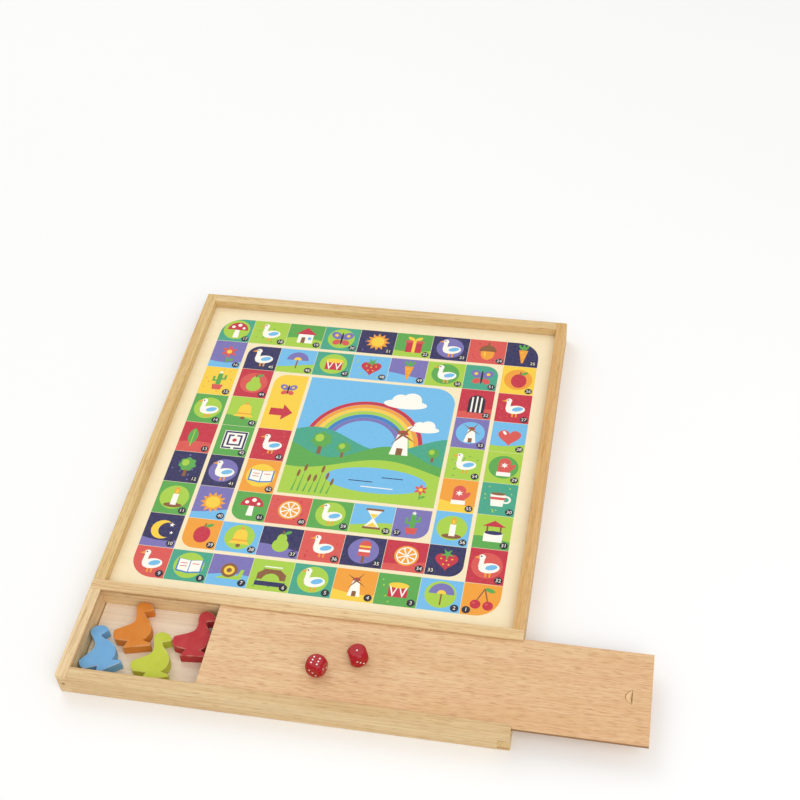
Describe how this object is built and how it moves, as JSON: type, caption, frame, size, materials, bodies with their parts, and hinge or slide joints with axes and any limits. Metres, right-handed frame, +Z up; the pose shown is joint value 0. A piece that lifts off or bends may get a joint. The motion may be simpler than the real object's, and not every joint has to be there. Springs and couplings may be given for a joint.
{
  "type": "board game box",
  "caption": "Wooden frame with a printed race-game panel on each face and a front tray for the playing pieces, closed by a sliding lid with a thumb notch.",
  "frame": {"origin": "middle of the underside of the divider, the rail between the tray and the printed panel", "axes": "+X along the tray, the way the lid slides open; +Y from the tray towards the far rail; +Z up, out of the printed face with the numbered track"},
  "size_m": [0.385, 0.3736, 0.0291],
  "materials": {
    "beech": "planed beech under a thin satin varnish",
    "pin_steel": "dull dark steel",
    "fibreboard": "raw fibreboard",
    "printed_paper": "printed paper with a satin coating",
    "floor_ply": "reddish thin plywood, unvarnished",
    "lid_veneer": "sanded veneered board with fine grain along its length",
    "blue_paint": "stained and varnished wood",
    "orange_paint": "stained and varnished wood",
    "green_paint": "stained and varnished wood",
    "red_paint": "stained and varnished wood",
    "die_red": "polished red plastic with white pips"
  },
  "bodies": {
    "box": {"back_rail": "beech", "left_rail": "beech", "right_rail": "beech", "divider": "beech", "front_rail": "beech", "tray_side_rail": "beech", "tray_end_wall": "beech", "corner_pin": "pin_steel", "panel_core": "fibreboard", "goose_sheet": "printed_paper", "ludo_sheet": "printed_paper", "tray_floor": "floor_ply"},
    "lid": {"lid": "lid_veneer"},
    "blue_goose": {"goose_blue": "blue_paint"},
    "orange_goose": {"goose_orange": "orange_paint"},
    "green_goose": {"goose_green": "green_paint"},
    "red_goose": {"goose_red": "red_paint"},
    "six_die": {"die_six": "die_red"},
    "one_die": {"die_one": "die_red"}
  },
  "joints": [
    {"name": "lid_slide", "type": "slide", "parent": "box", "child": "lid", "axis": [1, 0, 0], "range_m": [-0.0876, 0.1765]},
    {"name": "blue_goose_lift", "type": "slide", "parent": "box", "child": "blue_goose", "axis": [0, 0, 1], "range_m": [0, 0.045]},
    {"name": "orange_goose_lift", "type": "slide", "parent": "box", "child": "orange_goose", "axis": [0, 0, 1], "range_m": [0, 0.045]},
    {"name": "green_goose_lift", "type": "slide", "parent": "box", "child": "green_goose", "axis": [0, 0, 1], "range_m": [0, 0.045]},
    {"name": "red_goose_lift", "type": "slide", "parent": "box", "child": "red_goose", "axis": [0, 0, 1], "range_m": [0, 0.045]},
    {"name": "six_die_lift", "type": "slide", "parent": "lid", "child": "six_die", "axis": [0, 0, 1], "range_m": [0, 0.08]},
    {"name": "one_die_lift", "type": "slide", "parent": "lid", "child": "one_die", "axis": [0, 0, 1], "range_m": [0, 0.08]}
  ]
}
